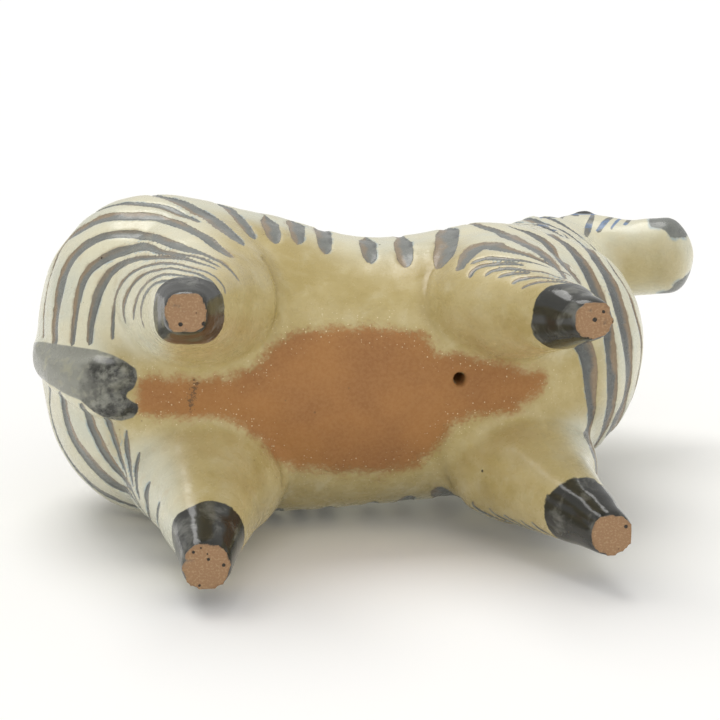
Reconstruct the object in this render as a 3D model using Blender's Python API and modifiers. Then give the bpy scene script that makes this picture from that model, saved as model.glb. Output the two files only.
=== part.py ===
# A glazed ceramic zebra figurine that stands on its own four feet: one hollow-built, fired piece.
# Metres, +Z up, the head at +X, the zebra's left side at +Y, the origin under the middle of its box.

import math

import bmesh
import bpy
from mathutils import Matrix, Vector

# Driving dimensions
BODY_LENGTH = 0.206  # from the rump to the chest
BODY_WIDTH = 0.103  # across the haunches
BODY_DEPTH = 0.102  # from the belly to the croup
BELLY_HEIGHT = 0.051  # from the ground to the belly
FOOT_WIDTH = 0.0130  # across the flat bottom of a foot
HEAD_LENGTH = 0.058  # from the poll to the tip of the muzzle
HEAD_WIDTH = 0.036  # across the brows
EAR_LENGTH = 0.0165
EAR_WIDTH = 0.0135
EAR_THICKNESS = 0.0070
EYE_LENGTH = 0.0080
NOSTRIL_WIDTH = 0.0036
MANE_WIDTH = 0.0125
MANE_RISE = 0.0085  # how far the crest stands above the neck
TAIL_WIDTH = 0.0115
TAIL_RISE = 0.0042  # how far the tail stands off the rump
VENT_DIAMETER = 0.0040  # the firing vent in the belly
VENT_DEPTH = 0.0140

# Fineness of the modelled surface: each blend has a voxel size and a number of smoothing passes
TRUNK_BLEND = (0.0024, 14)  # body and neck
LIMB_BLEND = (0.0015, 9)  # legs and head into the trunk
DETAIL_BLEND = (0.0011, 4)  # ears, crest, tail and eyes
TRIANGLES = 9000
RING_SIDES = 36
RINGS_PER_SPAN = 6
SOLE_TRIM = 0.0060  # the legs run this far below the ground before their soles are cut flat

# Places along the body, as shares: 0 at the rump and 1 at the chest, from the middle to one side as a share
# of the width, and by level: 0 at the ground, 1 at the belly and 2 at the croup.
BODY_STATIONS = [
    # along, middle, half width, lower level, upper level
    (0.000, -0.050, 0.000, 1.58, 1.58),
    (0.019, -0.048, 0.250, 1.33, 1.82),
    (0.058, -0.037, 0.388, 1.18, 1.92),
    (0.119, -0.030, 0.486, 1.08, 1.98),
    (0.206, -0.030, 0.514, 1.02, 2.00),
    (0.347, -0.012, 0.490, 0.99, 1.96),
    (0.507, 0.022, 0.440, 0.99, 1.90),
    (0.614, 0.014, 0.432, 1.00, 1.90),
    (0.721, -0.004, 0.444, 1.02, 1.95),
    (0.828, -0.003, 0.404, 1.07, 1.98),
    (0.920, -0.012, 0.318, 1.18, 1.97),
    (0.973, -0.040, 0.190, 1.35, 1.90),
    (1.000, -0.040, 0.000, 1.60, 1.60),
]

# Each leg: where its foot stands and where its root meets the belly, as shares of the length and width,
# then the width of its sole in foot widths, and how square the sole is (0 is round).
LEGS = {
    "hind_right": ((0.207, -0.382), (0.246, -0.292), 0.88, 0.8),
    "hind_left": ((0.230, 0.355), (0.256, 0.258), 1.06, 0.2),
    "front_right": ((0.786, -0.328), (0.724, -0.262), 0.86, 0.3),
    "front_left": ((0.821, 0.313), (0.748, 0.262), 0.98, 0.1),
}
# The taper of a leg: its level, how far it has moved from the foot's place to the root's, and its half
# width along and across the body, as shares of the length and of the width.
HIND_TAPER = [
    (0.33, 0.30, 0.0520, 0.102),
    (0.62, 0.56, 0.0720, 0.134),
    (0.86, 0.82, 0.0920, 0.163),
    (1.03, 1.00, 0.1160, 0.188),
    (1.19, 1.02, 0.1330, 0.210),
    (1.43, 1.08, 0.1300, 0.222),
    (1.72, 1.25, 0.0950, 0.170),
]
FRONT_TAPER = [
    (0.33, 0.36, 0.0500, 0.096),
    (0.62, 0.64, 0.0690, 0.124),
    (0.86, 0.86, 0.0900, 0.147),
    (1.03, 0.96, 0.1150, 0.168),
    (1.19, 1.00, 0.1260, 0.180),
    (1.43, 1.12, 0.1160, 0.176),
    (1.64, 1.35, 0.0750, 0.120),
]
LEG_TOP_LEVEL = 1.80
SOLE_HALF_WIDTHS = (0.92, 1.06)  # of half a foot's width: just under the ground, and at the ground

# The neck rises from the chest and leans to the zebra's right.
NECK_STATIONS = [
    # along, middle, level, half width, half depth
    (0.680, 0.000, 1.43, 0.000, 0.000),
    (0.728, 0.000, 1.54, 0.370, 0.400),
    (0.796, -0.014, 1.76, 0.378, 0.400),
    (0.850, -0.048, 1.98, 0.325, 0.340),
    (0.894, -0.092, 2.17, 0.256, 0.270),
    (0.922, -0.128, 2.33, 0.204, 0.212),
    (0.932, -0.140, 2.47, 0.000, 0.000),
]
POLL = (0.915, -0.137, 2.38)  # where the head joins the neck
HEAD_TURN = math.radians(8)  # to the zebra's right
HEAD_DIP = math.radians(22)  # the nose points a little down
# Along the head, its height above the head's axis, half width and half height, as shares of its length
# and, for the half width, of its width.
HEAD_STATIONS = [
    (-0.10, 0.00, 0.00, 0.00),
    (0.02, 0.01, 0.38, 0.23),
    (0.20, 0.02, 0.49, 0.31),
    (0.40, 0.00, 0.47, 0.31),
    (0.60, -0.02, 0.40, 0.255),
    (0.77, -0.03, 0.40, 0.235),
    (0.91, -0.03, 0.36, 0.205),
    (1.00, -0.03, 0.00, 0.00),
]
EAR_PLACE = (-0.04, 0.29, 0.22)  # on the head: along, to the side, up
EAR_STEPS = [  # up the ear, its width and its thickness
    (-0.55, 0.00, 0.00),
    (-0.20, 0.75, 1.10),
    (0.15, 0.86, 1.00),
    (0.45, 1.00, 0.95),
    (0.80, 0.66, 0.70),
    (1.00, 0.00, 0.00),
]
EAR_FACING = 0.55  # how far an ear's edge is turned forward, for each unit to the side
EAR_SPREAD = math.radians(9)
EAR_LEAN = 0.40  # backwards, for each unit of height
EYE_PLACE = (0.30, 0.455, 0.12)
EYE_SHAPE = (1.0, 0.50, 0.62)  # its length, how far it stands out, and its height, in eye lengths
EYE_SLANT = math.radians(6)
NOSTRIL_PLACE = (0.93, 0.20, 0.10)
MANE_BROW = (0.12, 0.0, 0.30)  # on the head, where the crest begins on the forehead
MANE_CROWN = (-0.04, 0.0, 0.27)  # on the head, between the ears
MANE_STEPS = [  # along the neck's stations, and how much of the crest's size is left there
    (4.7, 1.00),
    (4.1, 1.00),
    (3.5, 0.95),
    (3.0, 0.80),
    (2.5, 0.60),
]
MANE_TO = (0.610, 0.000, 1.88)  # the withers, where the crest runs out

# The tail hangs against the rump and ends in a tuft that is split in two.
TAIL_ROOT_LEVEL = 1.74
TAIL_ROOT_STEP = 0.60  # body station
TAIL_END_STEP = 3.00
TAIL_STEPS = [  # body station, width in tail widths and height in tail rises
    (0.25, 1.00, 0.55),
    (1.00, 1.05, 0.80),
    (2.00, 1.35, 1.00),
    (2.75, 1.72, 1.00),
]
TUFT_SPLIT = 0.40  # how far each lobe stands to its side, in tail widths
TUFT_LOBE = 0.40  # half width of a lobe, in tail widths
TUFT_STEPS = [  # body station, how far apart the lobes are, and a lobe's size
    (1.80, 0.60, 0.00),
    (2.50, 1.00, 1.00),
    (3.00, 1.10, 0.92),
    (3.35, 1.10, 0.00),
]

VENT_PLACE = (0.641, -0.044)  # under the belly, along and across

GLAZE_CREAM = (0.74, 0.69, 0.55, 1.0)
GLAZE_ROUGHNESS = 0.28

ALONG = Vector((1.0, 0.0, 0.0))
ACROSS = Vector((0.0, 1.0, 0.0))
UP = Vector((0.0, 0.0, 1.0))


def clear_scene():
    for thing in list(bpy.data.objects):
        bpy.data.objects.remove(thing, do_unlink=True)


def new_collection(name):
    collection = bpy.data.collections.new(name)
    bpy.context.scene.collection.children.link(collection)
    return collection


def height(level):
    """The height of a level: 0 is the ground, 1 the belly and 2 the croup."""
    if level <= 1.0:
        return level * BELLY_HEIGHT
    return BELLY_HEIGHT + (level - 1.0) * BODY_DEPTH


def place(along, across, level):
    return Vector((along * BODY_LENGTH, across * BODY_WIDTH, height(level)))


def blend_four(before, start, end, after, share):
    """A smooth curve from start to end, for one number."""
    return 0.5 * (
        2 * start
        + (end - before) * share
        + (2 * before - 5 * start + 4 * end - after) * share**2
        + (3 * start - before - 3 * end + after) * share**3
    )


def mirrored(section):
    """The section beyond a closed end: its widths are turned over, so that the end comes out round."""
    return (*section[:3], -section[3], -section[4], section[5])


def section_at(sections, step):
    """The smooth section at a step, where a whole step is a listed section.

    A section is its centre's x, y and z, its half width, its half height and how square it is.
    """
    index = min(max(int(step), 0), len(sections) - 2)
    row = [mirrored(sections[1]), *sections, mirrored(sections[-2])]
    return tuple(blend_four(*values, step - index) for values in zip(*row[index : index + 4]))


def rim(angle, square):
    """How far a rounded square stands out from an ellipse at an angle."""
    power = 2 + 2 * max(square, 0.0)
    return (abs(math.cos(angle)) ** power + abs(math.sin(angle)) ** power) ** (-1 / power)


def loft(sections, side, axis=None, sides=RING_SIDES, rings_per_span=RINGS_PER_SPAN):
    """A closed bmesh through sections that stand square to the axis, or else to their own path."""
    body = bmesh.new()
    count = (len(sections) - 1) * rings_per_span
    rows = [section_at(sections, index / rings_per_span) for index in range(count + 1)]
    centres = [Vector(row[:3]) for row in rows]
    start = body.verts.new(centres[0])
    end = body.verts.new(centres[-1])
    rings = []
    for index in range(1, count):
        path = axis or (centres[index + 1] - centres[index - 1]).normalized()
        right = (side - side.dot(path) * path).normalized()
        up = path.cross(right)
        ring = []
        for number in range(sides):
            angle = 2 * math.pi * number / sides
            _, _, _, half_width, half_height, square = rows[index]
            offset = right * math.cos(angle) * half_width + up * math.sin(angle) * half_height
            ring.append(body.verts.new(centres[index] + offset * rim(angle, square)))
        rings.append(ring)
    for lower, upper in zip(rings, rings[1:]):
        for number in range(sides):
            after = (number + 1) % sides
            body.faces.new((lower[number], lower[after], upper[after], upper[number]))
    for number in range(sides):
        after = (number + 1) % sides
        body.faces.new((start, rings[0][after], rings[0][number]))
        body.faces.new((end, rings[-1][number], rings[-1][after]))
    bmesh.ops.recalc_face_normals(body, faces=body.faces)
    return body


def body_sections():
    sections = []
    for along, middle, half_width, low, high in BODY_STATIONS:
        centre = Vector((along * BODY_LENGTH, middle * BODY_WIDTH, (height(low) + height(high)) / 2))
        sections.append((*centre, half_width * BODY_WIDTH, (height(high) - height(low)) / 2, 0.0))
    return sections


def leg_sections(foot, root, sole, square, taper):
    """From below the ground, through the sole, up to the round head of the leg inside the body."""
    foot_point = place(*foot, 0.0)
    root_point = place(*root, 1.0)
    splay = (root_point - foot_point) / BELLY_HEIGHT
    half = sole * FOOT_WIDTH / 2
    under, over = SOLE_HALF_WIDTHS
    sections = [
        (*(foot_point - splay * SOLE_TRIM * 1.5), 0.0, 0.0, square),
        (*(foot_point - splay * SOLE_TRIM), half * under, half * under, square),
        (*foot_point, half * over, half * over, square),
    ]
    for level, shift, half_along, half_across in taper:
        centre = foot_point.lerp(root_point, shift)
        centre.z = height(level)
        left_square = square * max(0.0, 1.0 - level)
        sections.append((*centre, half_along * BODY_LENGTH, half_across * BODY_WIDTH, left_square))
    top = foot_point.lerp(root_point, taper[-1][1])
    sections.append((top.x, top.y, height(LEG_TOP_LEVEL), 0.0, 0.0, 0.0))
    return sections


def neck_sections():
    sections = []
    for along, middle, level, half_width, half_depth in NECK_STATIONS:
        centre = place(along, middle, level)
        sections.append((*centre, half_width * BODY_WIDTH, half_depth * BODY_DEPTH, 0.0))
    return sections


def head_frame():
    """The matrix from the head's own frame (nose at +X, crown at +Z) to the zebra's."""
    turned = Matrix.Rotation(-HEAD_TURN, 4, "Z") @ Matrix.Rotation(HEAD_DIP, 4, "Y")
    return Matrix.Translation(place(*POLL)) @ turned


def on_head(along, across, up):
    """A place on the head: shares of its length, of its width and again of its length."""
    return head_frame() @ Vector((along * HEAD_LENGTH, across * HEAD_WIDTH, up * HEAD_LENGTH))


def head_sections():
    sections = []
    for along, up, half_width, half_height in HEAD_STATIONS:
        centre = on_head(along, 0.0, up)
        sections.append((*centre, half_width * HEAD_WIDTH, half_height * HEAD_LENGTH, 0.0))
    return sections


def ear(side):
    """A leaf with a round tip, leaning back and outwards; side is 1 on the left and -1 on the right."""
    root = on_head(EAR_PLACE[0], side * EAR_PLACE[1], EAR_PLACE[2])
    lean = Vector((-EAR_LEAN, side * math.sin(EAR_SPREAD), math.cos(EAR_SPREAD))).normalized()
    half_width, half_thickness = EAR_WIDTH / 2, EAR_THICKNESS / 2
    sections = [
        (*(root + lean * share * EAR_LENGTH), wide * half_width, thick * half_thickness, 0.0)
        for share, wide, thick in EAR_STEPS
    ]
    outward = Vector((EAR_FACING, side, 0.0)).normalized()
    return loft(sections, outward, sides=20, rings_per_span=5)


def eye(side):
    """A low almond bulge on the side of the head."""
    shape = bmesh.new()
    bmesh.ops.create_uvsphere(shape, u_segments=20, v_segments=12, radius=0.5)
    sized = Matrix.Diagonal((*(EYE_LENGTH * share for share in EYE_SHAPE), 1.0))
    centre = Matrix.Translation(on_head(EYE_PLACE[0], side * EYE_PLACE[1], EYE_PLACE[2]))
    turned = centre @ Matrix.Rotation(-HEAD_TURN - side * EYE_SLANT, 4, "Z")
    bmesh.ops.transform(shape, matrix=turned @ sized, verts=shape.verts)
    return shape


def neck_back(step):
    """A point on the back of the neck, where the crest runs."""
    sections = neck_sections()
    here = section_at(sections, step)
    path = (Vector(section_at(sections, step + 0.05)[:3]) - Vector(here[:3])).normalized()
    right = (ACROSS - ACROSS.dot(path) * path).normalized()
    return Vector(here[:3]) + path.cross(right) * here[4]


def mane():
    """A rounded crest from the forehead, between the ears, down the neck to the withers."""
    half_width = MANE_WIDTH / 2
    sections = [
        (*on_head(*MANE_BROW), 0.0, 0.0, 0.0),
        (*on_head(*MANE_CROWN), half_width, MANE_RISE, 0.0),
    ]
    for step, size in MANE_STEPS:
        sections.append((*neck_back(step), half_width * size, MANE_RISE * size, 0.0))
    sections.append((*place(*MANE_TO), 0.0, 0.0, 0.0))
    return loft(sections, ACROSS, sides=20)


def rump_point(step):
    """A point on the middle of the rump's underside, at a step along the body's stations."""
    x, y, z, _, half_height, _ = section_at(body_sections(), step)
    return Vector((x, y, z - half_height))


def tail():
    """The dock and the brush, flat against the rump."""
    top = section_at(body_sections(), TAIL_ROOT_STEP)
    sections = [(top[0], top[1], height(TAIL_ROOT_LEVEL), 0.0, 0.0, 0.0)]
    for step, width, rise in TAIL_STEPS:
        sections.append((*rump_point(step), width * TAIL_WIDTH / 2, rise * TAIL_RISE, 0.0))
    sections.append((*rump_point(TAIL_END_STEP), 0.0, 0.0, 0.0))
    shapes = [loft(sections, ACROSS, sides=24)]
    for side in (-1, 1):
        apart = ACROSS * side * TUFT_SPLIT * TAIL_WIDTH
        half = TUFT_LOBE * TAIL_WIDTH
        lobe = [
            (*(rump_point(step) + apart * spread), half * width, TAIL_RISE * width, 0.0)
            for step, spread, width in TUFT_STEPS
        ]
        shapes.append(loft(lobe, ACROSS, sides=20))
    return shapes


def blend(name, mesh, shapes, how, helpers):
    """The mesh and the shapes as one smooth body of clay, in a new mesh."""
    whole = bmesh.new()
    if mesh:
        whole.from_mesh(mesh)
    for shape in shapes:
        piece = bpy.data.meshes.new(name + "_shape")
        shape.to_mesh(piece)
        shape.free()
        whole.from_mesh(piece)
        bpy.data.meshes.remove(piece)
    joined = bpy.data.meshes.new(name + "_joined")
    whole.to_mesh(joined)
    whole.free()
    body = bpy.data.objects.new(name, joined)
    helpers.objects.link(body)
    remesh = body.modifiers.new("blend", "REMESH")
    remesh.mode = "VOXEL"
    remesh.voxel_size = how[0]
    smooth = body.modifiers.new("smooth", "SMOOTH")
    smooth.factor = 0.5
    smooth.iterations = how[1]
    graph = bpy.context.evaluated_depsgraph_get()
    graph.update()
    result = bpy.data.meshes.new_from_object(body.evaluated_get(graph), depsgraph=graph)
    bpy.data.objects.remove(body, do_unlink=True)
    bpy.data.meshes.remove(joined)
    return result


def legs():
    shapes = []
    for name, (foot, root, sole, square) in LEGS.items():
        taper = HIND_TAPER if name.startswith("hind") else FRONT_TAPER
        sections = leg_sections(foot, root, sole, square, taper)
        shapes.append(loft(sections, ALONG, axis=UP))
    return shapes


def helper_object(name, shape, helpers):
    mesh = bpy.data.meshes.new(name)
    shape.to_mesh(mesh)
    shape.free()
    cutter = bpy.data.objects.new(name, mesh)
    cutter.hide_render = True
    cutter.display_type = "WIRE"
    helpers.objects.link(cutter)
    return cutter


def ground_cutter(helpers):
    """A block whose top is the ground, which makes the four soles flat."""
    block = bmesh.new()
    bmesh.ops.create_cube(block, size=1.0)
    size = Vector((2.0 * BODY_LENGTH, 3.0 * BODY_WIDTH, 4.0 * SOLE_TRIM))
    bmesh.ops.scale(block, vec=size, verts=block.verts)
    bmesh.ops.translate(block, vec=(BODY_LENGTH / 2, 0.0, -size.z / 2), verts=block.verts)
    return helper_object("ground_cutter", block, helpers)


def belly_height(along):
    """The height of the underside of the body at a share of its length."""
    sections = body_sections()
    fine = [section_at(sections, index / 50) for index in range(50 * (len(sections) - 1) + 1)]
    nearest = min(fine, key=lambda section: abs(section[0] - along * BODY_LENGTH))
    return nearest[2] - nearest[4]


def round_cutter(name, radius, length, matrix, helpers):
    rod = bmesh.new()
    bmesh.ops.create_cone(
        rod, cap_ends=True, segments=20, radius1=radius, radius2=radius, depth=length, matrix=matrix
    )
    return helper_object(name, rod, helpers)


def vent_cutter(helpers):
    top = belly_height(VENT_PLACE[0]) + VENT_DEPTH
    length = 2.0 * VENT_DEPTH
    centre = Vector((VENT_PLACE[0] * BODY_LENGTH, VENT_PLACE[1] * BODY_WIDTH, top - length / 2))
    return round_cutter("vent_cutter", VENT_DIAMETER / 2, length, Matrix.Translation(centre), helpers)


def nostril_cutter(side, helpers):
    """A shallow dimple in the front of the muzzle."""
    dimple = bmesh.new()
    bmesh.ops.create_icosphere(dimple, subdivisions=2, radius=NOSTRIL_WIDTH / 2)
    centre = on_head(NOSTRIL_PLACE[0], side * NOSTRIL_PLACE[1], NOSTRIL_PLACE[2])
    bmesh.ops.translate(dimple, vec=centre, verts=dimple.verts)
    return helper_object("nostril_cutter_" + ("left" if side > 0 else "right"), dimple, helpers)


def glaze_material():
    material = bpy.data.materials.new("cream_glaze")
    material.use_nodes = True
    shader = material.node_tree.nodes["Principled BSDF"]
    shader.inputs["Base Color"].default_value = GLAZE_CREAM
    shader.inputs["Roughness"].default_value = GLAZE_ROUGHNESS
    shader.inputs["Metallic"].default_value = 0.0
    return material


def set_origin_under_middle(figure, cutters):
    """Moves the figure and its cutters together, so that the origin is under the middle of its box."""
    graph = bpy.context.evaluated_depsgraph_get()
    graph.update()
    corners = [Vector(corner) for corner in figure.evaluated_get(graph).bound_box]
    low = Vector(min(corner[axis] for corner in corners) for axis in range(3))
    high = Vector(max(corner[axis] for corner in corners) for axis in range(3))
    shift = Vector((-(low.x + high.x) / 2, -(low.y + high.y) / 2, -low.z))
    for thing in [figure, *cutters]:
        thing.location = shift


def main():
    clear_scene()
    parts = new_collection("zebra_figurine")
    helpers = new_collection("cutters")
    trunk_shapes = [loft(body_sections(), ACROSS, axis=ALONG), loft(neck_sections(), ACROSS)]
    trunk = blend("trunk", None, trunk_shapes, TRUNK_BLEND, helpers)
    beast = blend("beast", trunk, [loft(head_sections(), ACROSS), *legs()], LIMB_BLEND, helpers)
    details = [ear(1), ear(-1), eye(1), eye(-1), mane(), *tail()]
    clay = blend("zebra_clay", beast, details, DETAIL_BLEND, helpers)
    bpy.data.meshes.remove(trunk)
    bpy.data.meshes.remove(beast)
    figure = bpy.data.objects.new("zebra", clay)
    parts.objects.link(figure)
    thin = figure.modifiers.new("fewer_faces", "DECIMATE")
    thin.ratio = min(1.0, TRIANGLES / (2 * len(figure.data.polygons)))
    cutters = [
        ground_cutter(helpers),
        vent_cutter(helpers),
        nostril_cutter(1, helpers),
        nostril_cutter(-1, helpers),
    ]
    for cutter in cutters:
        cut = figure.modifiers.new("cut_" + cutter.name, "BOOLEAN")
        cut.operation = "DIFFERENCE"
        cut.solver = "EXACT"
        cut.object = cutter
    figure.data.materials.append(glaze_material())
    figure.data.shade_smooth()
    set_origin_under_middle(figure, cutters)


main()
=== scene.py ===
# The looks of a glazed ceramic zebra figurine: carved and washed stripes over a cream glaze, black hooves,
# a bare terracotta belly and raw clay soles. It is seen from below, as it lies on its left side.

import math

import bmesh
import bpy
import numpy as np
from mathutils import Matrix, Vector
from mathutils.bvhtree import BVHTree
from mathutils.kdtree import KDTree


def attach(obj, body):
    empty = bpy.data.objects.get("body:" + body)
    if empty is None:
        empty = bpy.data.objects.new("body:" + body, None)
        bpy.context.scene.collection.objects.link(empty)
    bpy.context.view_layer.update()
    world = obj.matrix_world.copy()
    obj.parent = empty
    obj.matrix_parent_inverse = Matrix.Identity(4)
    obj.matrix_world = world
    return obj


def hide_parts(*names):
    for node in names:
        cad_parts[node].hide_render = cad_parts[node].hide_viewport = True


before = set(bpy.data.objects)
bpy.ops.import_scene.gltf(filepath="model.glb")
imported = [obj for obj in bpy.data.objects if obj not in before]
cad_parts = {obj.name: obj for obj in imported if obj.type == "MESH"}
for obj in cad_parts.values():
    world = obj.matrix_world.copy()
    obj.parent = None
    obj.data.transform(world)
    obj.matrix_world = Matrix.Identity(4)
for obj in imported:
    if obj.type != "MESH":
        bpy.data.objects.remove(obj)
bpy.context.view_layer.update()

MM = 0.001

# The camera stands below the figurine and a little to its right, and the picture is 720 px wide and high.
CAMERA_PLACE = Vector((-115.5, -167.3, -627.5)) * MM
CAMERA_RIGHT = Vector((0.990268, 0.0, -0.139173))
CAMERA_UP = Vector((0.031307, -0.974370, 0.222762))
CAMERA_BACK = Vector((-0.135606, -0.224951, -0.964888))
PICTURE_WIDTH = 720
SENSOR_WIDTH = 36.0
LENS = 112.5
FOCAL_PIXELS = LENS / SENSOR_WIDTH * PICTURE_WIDTH

# The fine surface
VOXEL = 1.19 * MM
SMOOTHING = 34
SMOOTHING_IN, SMOOTHING_OUT = 0.5, -0.52  # each pass of smoothing, and the pass that undoes its shrinking
FLAT_SOLE = 0.30 * MM  # anything lower than this belongs to a sole, and is flat on the ground
STROKE_STEP = 0.5 * MM
EASE = 12  # samples to each side, over which a band's kinks are rounded off
HAUNCH_MIDDLE = -84  # mm
HAUNCH_SWELL = 1.5 * MM
GROOVE_DEPTH = 0.50 * MM  # in a broad stripe, and less in a narrow one
STROKE_SWELL = 1.10  # how much wider the wash spreads than the middle line of a stroke suggests
FAR = 60.0  # mm, where no stroke is near
PIXELS_PER_MM = 3
PIXEL = MM / PIXELS_PER_MM  # the size of a pixel where the figurine is
FEWEST_PIXELS = 1350  # a metre across counts as at least this many, where the surface is seen edge-on
SLIP = 6.0  # a point this many times further off than in the picture has slipped past the outline
RAY_START, RAY_STEP, RAY_STEPS = 500, 6, 60  # mm from the camera, to look for the surface beside a pixel
WIDTH_REACH = 7  # samples to each side, over which a stroke's widths are evened out
SAME_SIDE = 0.2  # less than this, the normals of a spot and of its nearest stroke lie on different sides

# The head's own frame, to mirror its markings: nose at +X, crown at +Z
POLL = Vector((68.5, -11.1, 191.8)) * MM
HEAD_TURN = math.radians(8)
HEAD_DIP = math.radians(22)
HEAD_FRAME = (
    Matrix.Translation(POLL)
    @ Matrix.Rotation(-HEAD_TURN, 4, "Z")
    @ Matrix.Rotation(HEAD_DIP, 4, "Y")
)
MIDLINE = 1.5 * MM
# How much further forward the left feet stand than the right ones
HIND_STAGGER = 4.8 * MM
FRONT_STAGGER = 7.2 * MM
LEG_HEIGHT = 60 * MM
TRUNK_LEVEL = 98 * MM  # how high the middle of the trunk is
BRIDGE_STEPS = 10  # parts of a band's way over a form, where the picture doesn't show it
# A left arc out of sight starts this many samples on, has a point every few, and soon turns into the
# mirror image of the right one
CARRY_START, CARRY_EVERY, CARRY_HASTE = 12, 8, 1.5

# Brush strokes. A point is a place in the picture and the stroke's width there, all in pixels, or else a
# place on the figurine in millimetres and the width in millimetres. Each lands on the nearest surface.
# Arcs round the right haunch, from the tail outwards and forwards, the outermost first
HAUNCH_ARCS = [
    [(43, 338, 2), (43.5, 318, 2), (46.5, 294, 2.2), (52, 270, 3), (60, 251, 3.5), (69, 239, 4.5),
     (80, 230, 5.5), (90, 223.5, 6.5), (100, 218.5, 7), (115, 215.5, 7.2), (130, 215, 7.2),
     (145, 215.5, 7), (160, 217.5, 6.2), (175, 222, 6), (190, 228, 6.2), (203, 235.5, 6.8),
     (215, 244, 7), (225, 252, 6), (232, 258, 3.5)],
    [(53.5, 348, 5), (54, 330, 5.5), (55.2, 311, 6.5), (57.5, 295, 7.5), (61, 281, 8), (66, 268.5, 8),
     (73, 257.5, 7.5), (81, 249, 7), (91, 241.5, 6.5), (102, 236.5, 6.5), (115, 234, 6.5),
     (128, 233.5, 6.8), (140, 234.5, 7), (152, 236.5, 6.8), (163, 239.8, 7), (173, 243.5, 7.2),
     (183, 247.5, 6.5), (192, 250.6, 4.5), (203, 254, 2.8), (214, 258.8, 2.4), (224, 264, 2.2),
     (232, 271, 2), (239, 281, 1.3)],
    [(71.5, 347, 4), (72.8, 332, 4.8), (74.5, 315, 5.2), (77, 300, 6), (79.5, 289, 6.8), (83, 279, 7.5),
     (89, 269, 8), (98, 262, 8.5), (109, 255.8, 8.5), (120, 251.5, 8.5), (131, 248.3, 8.2),
     (141, 246.8, 8), (149, 247.6, 6.5), (158, 250, 4.2), (170, 252.5, 3), (184, 255, 2.6),
     (198, 257.6, 2.4), (210, 261.5, 2), (220, 267, 1.4)],
    [(89.5, 345, 4.5), (90, 333, 6), (92, 317, 7), (95.5, 301, 8), (99.5, 289, 8), (105, 279.5, 7.5),
     (112, 271, 6.8), (120, 265.3, 6), (130, 260.6, 4.8), (140, 258, 3.8), (151, 256.8, 3.2),
     (162, 256.6, 3), (173, 257.4, 3), (184, 259, 2.6), (196, 261.4, 2), (208, 265, 1.6),
     (217, 269.5, 1.2)],
    [(112.6, 339, 2.5), (112.6, 328, 3.6), (112.8, 314, 3.2), (114.5, 301, 2.6), (118, 290, 2.4),
     (123, 281, 2.4), (130, 273.6, 2.4), (139, 268.4, 2.2), (149, 264.8, 2.2), (160, 263, 2.2),
     (172, 263, 2), (186, 265.3, 2), (199, 268.6, 2), (210, 273.4, 2), (219, 280, 2), (224, 287, 1.8),
     (225.6, 293, 1.2)],
    [(126, 324, 1.5), (123.6, 314, 2.8), (124.3, 303, 3), (127.5, 293, 2.8), (133, 283.5, 2.6),
     (140, 276.6, 2.4), (149, 271.7, 2.2), (160, 269, 2.2), (172, 268.4, 2), (185, 270, 2),
     (197, 273.3, 2), (207, 278.3, 2), (214.5, 284.5, 2), (218.5, 291, 1.2)],
    [(133.6, 319, 1.4), (134, 310, 2.4), (136, 301, 2.6), (140.5, 290.5, 2.4), (147, 282.6, 2.2),
     (156, 277.2, 2.2), (167, 274.4, 2.2), (179, 274.8, 2), (191, 277.4, 2), (203, 283.4, 1.2)],
    [(145, 329, 1.4), (141.6, 319, 2.8), (141.4, 308, 3.2), (144.3, 297, 2.8), (150, 288.3, 2.4),
     (158, 283, 2.2), (170, 280.8, 2.2), (182, 281.6, 2.2), (193, 285, 1.8), (201, 289, 1.2)],
]
# The same arcs on the left haunch, as far as they show below the tail, and how many go on out of sight
LONG_RUMP_ARCS = 3
RUMP_ARCS = [
    [(45, 382, 2), (48.5, 400, 2.5), (52.5, 420, 3), (59.5, 440, 4), (68, 456, 4.5), (78, 470.5, 5),
     (88, 481.5, 5.5), (98, 491, 5.5), (110, 498.5, 6), (122, 503.5, 6), (133, 507.5, 5)],
    [(61, 391, 3), (63, 402, 5), (66, 418, 6), (70.5, 433, 7), (77, 445, 7.5), (84, 454, 8), (91, 463, 8),
     (98, 471, 8), (106, 478, 8), (114, 484, 7), (123, 490, 5.5), (131, 495, 4)],
    [(80, 400, 3), (84, 410, 5.5), (89, 421, 6.5), (94, 431, 7), (99, 442, 7), (104, 452, 7),
     (109, 460, 6.5), (115, 468, 5), (121, 476, 4), (127, 484, 3), (132, 491, 2.4)],
    [(104, 417, 4), (108, 424, 5.5), (112, 433, 5), (115.5, 442, 4.5), (118, 451, 3.8), (120.5, 460, 3),
     (124, 470, 2), (128, 480, 1.2)],
    [(127, 428, 3), (126.5, 437, 4.2), (126.8, 448, 4.2), (128, 458, 4.2), (129.8, 468, 3.2),
     (131.5, 478, 2.2), (134.5, 490, 1.6)],
    [(140.5, 449, 3), (138, 454, 4), (136.6, 462, 4), (136, 472, 3.8), (136.6, 482, 3.2),
     (138.5, 492, 2.4), (142, 503, 1.6)],
    [(152, 480, 3), (149, 487, 4.5), (147, 494, 4.5), (148, 502, 3.5), (150, 512, 2.4),
     (154, 524, 1.8), (159, 535, 1.4)],
    [(161.5, 500, 4), (159, 506, 4.5), (157, 513, 4), (157.5, 521, 2.8), (159, 530, 1.8),
     (163, 542, 1.4)],
]
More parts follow.
